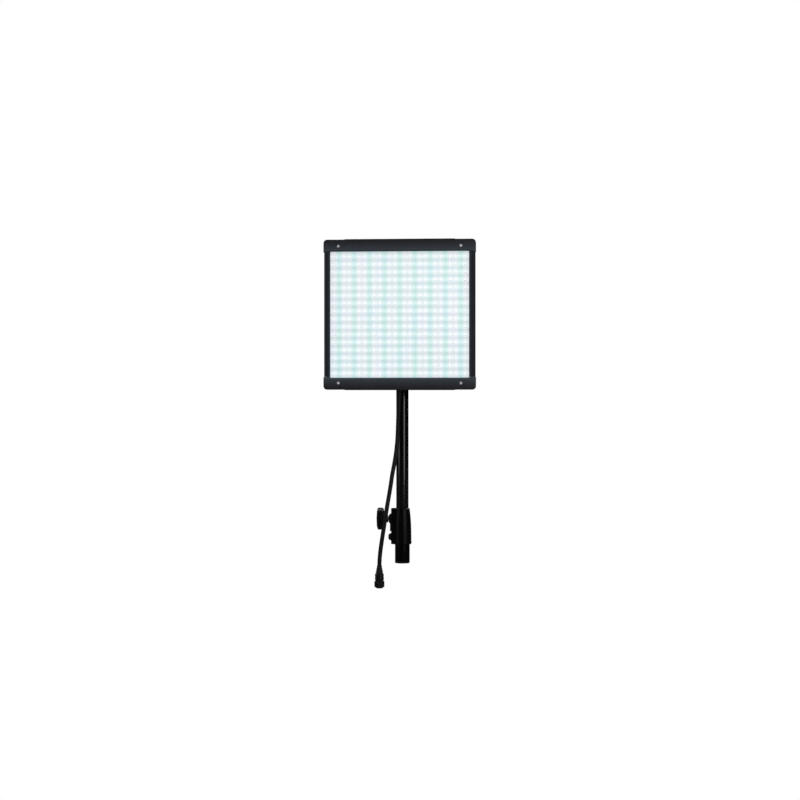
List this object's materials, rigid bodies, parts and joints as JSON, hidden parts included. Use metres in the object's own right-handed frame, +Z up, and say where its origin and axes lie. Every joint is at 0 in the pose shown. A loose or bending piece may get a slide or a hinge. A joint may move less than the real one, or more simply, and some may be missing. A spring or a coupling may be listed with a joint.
{
  "type": "led panel light",
  "caption": "Slim square LED panel light with a dark metal frame, on a tilt bracket atop a round stand column with a collar clamp, a side locking knob and a short hanging lead.",
  "frame": {"origin": "centre of the column's lower end face, where a stand carries it", "axes": "+Z up the column, the panel's lit face looks along -Y, +X to the right of a viewer who faces the lit side"},
  "size_m": [0.3, 0.1265, 0.6894],
  "materials": {
    "charcoal_paint": "satin charcoal paint",
    "anodised_rail": "black anodised",
    "clear_diffuser": "clear prismatic sheet",
    "white_board": "white solder mask, emissive LED packages",
    "raw_aluminium": "mill finish",
    "rear_paint": "matt black paint",
    "zinc_steel": "bright zinc",
    "black_steel": "black oxide",
    "black_casting": "satin black die casting",
    "gloss_black_tube": "gloss black",
    "black_nylon": "moulded nylon",
    "knob_plastic": "fine matt texture",
    "brass_pad": "turned",
    "green_circuit": "solder mask",
    "cord_rubber": "matt rubber"
  },
  "bodies": {
    "column": {"end_plug": "black_nylon", "lower_tube": "gloss_black_tube", "collar_body": "black_casting", "collar_sleeve": "black_nylon", "face_plate": "black_steel", "knob_boss": "black_steel", "clamp_bolt": "black_steel"},
    "lock_slider": {"lock_pad": "brass_pad"},
    "lock_screw": {"lock_knob": "knob_plastic", "lock_stud": "zinc_steel"},
    "riser": {"upper_tube": "gloss_black_tube", "tube_end_bush": "black_nylon", "column_stud": "zinc_steel"},
    "receiver": {"receiver_body": "black_casting", "power_cord": "cord_rubber", "connector_boot": "cord_rubber", "connector_body": "black_steel"},
    "receiver_slider": {"receiver_pad": "brass_pad"},
    "receiver_screw": {"receiver_knob": "knob_plastic", "receiver_stud": "zinc_steel"},
    "panel": {"top_bar": "charcoal_paint", "bottom_bar": "charcoal_paint", "side_rail_left": "anodised_rail", "side_rail_right": "anodised_rail", "front_diffuser": "clear_diffuser", "spacer_frame": "white_board", "led_board": "white_board", "heat_spreader": "raw_aluminium", "rear_cover": "rear_paint", "front_screw_1": "zinc_steel", "front_screw_2": "zinc_steel", "front_screw_3": "zinc_steel", "front_screw_4": "zinc_steel", "cover_screw_1": "black_steel", "cover_screw_2": "black_steel", "cover_screw_3": "black_steel", "cover_screw_4": "black_steel", "cover_screw_5": "black_steel", "cover_screw_6": "black_steel", "mount_screw_1": "black_steel", "mount_screw_2": "black_steel", "mount_screw_3": "black_steel", "mount_screw_4": "black_steel", "hub_housing": "rear_paint", "driver_board": "green_circuit", "mount_bracket": "black_casting", "friction_washer_1": "black_nylon", "friction_washer_2": "black_nylon", "tilt_bolt": "black_steel", "cord_gland": "black_steel", "strain_relief": "cord_rubber"},
    "lever": {"tilt_lever": "knob_plastic"},
    "coupling_ring": {"connector_ring": "black_steel"}
  },
  "joints": [
    {"name": "riser_slide", "type": "slide", "parent": "column", "child": "riser", "axis": [0, 0, 1], "range_m": [0, 0.045]},
    {"name": "lock_knob_turn", "type": "hinge", "parent": "lock_slider", "child": "lock_screw", "pos_m": [-0.03, 0, 0.089], "axis": [-1, 0, 0], "range_deg": [0, 360]},
    {"name": "lock_pad_travel", "type": "slide", "parent": "column", "child": "lock_slider", "axis": [-1, 0, 0], "range_m": [0, 0.00125]},
    {"name": "pan", "type": "hinge", "parent": "riser", "child": "receiver", "pos_m": [0, 0, 0.434], "axis": [0, 0, 1], "continuous": true},
    {"name": "receiver_knob_turn", "type": "hinge", "parent": "receiver_slider", "child": "receiver_screw", "pos_m": [0, 0.03, 0.434], "axis": [0, 1, 0], "range_deg": [0, 360]},
    {"name": "receiver_pad_travel", "type": "slide", "parent": "receiver", "child": "receiver_slider", "axis": [0, 1, 0], "range_m": [0, 0.00125]},
    {"name": "tilt", "type": "hinge", "parent": "receiver", "child": "panel", "pos_m": [0, 0, 0.4965], "axis": [-1, 0, 0], "range_deg": [-15, 75], "deforming": ["power_cord"]},
    {"name": "tilt_lever_turn", "type": "hinge", "parent": "panel", "child": "lever", "pos_m": [0.027, 0, 0.4965], "axis": [1, 0, 0], "range_deg": [-60, 60]},
    {"name": "connector_ring_turn", "type": "hinge", "parent": "receiver", "child": "coupling_ring", "pos_m": [-0.0417, -0.0564, -0.0362], "axis": [0, 0, 1], "range_deg": [0, 90]}
  ],
  "couplings": [
    {"joint": "lock_pad_travel", "follows": "lock_knob_turn", "m_per_rad": 0.00019894},
    {"joint": "receiver_pad_travel", "follows": "receiver_knob_turn", "m_per_rad": 0.00019894}
  ]
}
